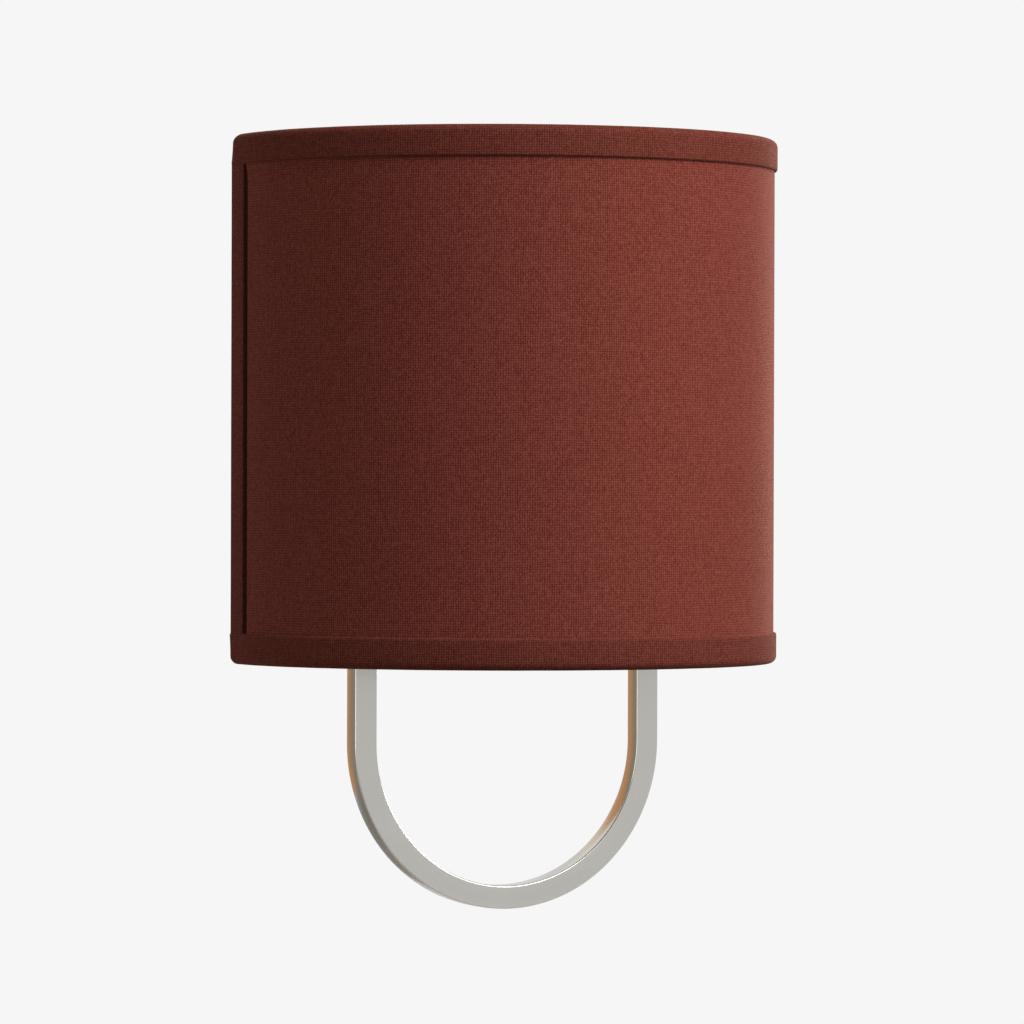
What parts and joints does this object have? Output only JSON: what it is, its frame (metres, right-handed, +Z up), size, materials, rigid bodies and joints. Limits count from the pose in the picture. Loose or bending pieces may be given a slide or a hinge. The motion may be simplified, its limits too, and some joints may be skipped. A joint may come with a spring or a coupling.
{
  "type": "wall light",
  "caption": "Wall light with a half-round linen shade on a wire frame, a steel wall pan, a square-bar stirrup hanging below the shade, and a screw-in bulb.",
  "frame": {"origin": "on the wall, midway between the two wall-box slots of the crossbar and at the middle of the shade's height", "axes": "+Z up, +X to the right seen from the room, -Y out from the wall into the room"},
  "size_m": [0.231, 0.1297, 0.3174],
  "materials": {
    "red_linen": "dark rust-red linen weave",
    "trim_linen": "dark rust-red linen, folded and glued",
    "liner": "translucent white sheet",
    "white_wire": "white enamel",
    "satin_nickel": "brushed satin nickel",
    "zinc_steel": "zinc plated",
    "green_screw": "green dyed zinc",
    "fibre_paper": "vulcanised fibre",
    "porcelain": "unglazed porcelain",
    "holder_brass": "bright brass",
    "black_insulation": "satin insulation",
    "white_insulation": "satin insulation",
    "connector_plastic": "moulded",
    "frosted_glass": "frosted",
    "bulb_aluminium": "rolled",
    "black_glass": "black vitrified glass",
    "solder": "tinned"
  },
  "bodies": {
    "fixture": {"wall_pan": "satin_nickel", "crossbar": "zinc_steel", "mounting_studs": "zinc_steel", "stud_lock_nuts": "zinc_steel", "cap_nuts": "satin_nickel", "earth_screw": "green_screw", "u_bar": "satin_nickel", "leg_screws": "zinc_steel", "shade_hooks": "satin_nickel", "hook_rivets": "zinc_steel", "lamp_arm": "satin_nickel", "arm_collar": "satin_nickel", "arm_lock_nut": "zinc_steel", "holder_cap": "satin_nickel", "holder_shell": "satin_nickel", "insulating_sleeve": "fibre_paper", "holder_block": "porcelain", "screw_shell": "holder_brass", "centre_contact": "holder_brass", "black_lead": "black_insulation", "white_lead": "white_insulation", "wire_connectors": "connector_plastic"},
    "shade": {"linen_skin": "red_linen", "shade_liner": "liner", "top_trim": "trim_linen", "bottom_trim": "trim_linen", "left_side_trim": "trim_linen", "right_side_trim": "trim_linen", "top_ring": "white_wire", "bottom_ring": "white_wire", "back_wire": "white_wire", "upright_wires": "white_wire"},
    "bulb": {"bulb_glass": "frosted_glass", "bulb_cap": "bulb_aluminium", "bulb_base": "black_glass", "bulb_contact": "solder"}
  },
  "joints": [
    {"name": "shade_lift", "type": "slide", "parent": "fixture", "child": "shade", "axis": [0, 0, 1], "range_m": [0, 0.24]},
    {"name": "bulb_turn", "type": "hinge", "parent": "fixture", "child": "bulb", "pos_m": [0, -0.066, -0.02], "axis": [0, 0, 1], "continuous": true}
  ]
}
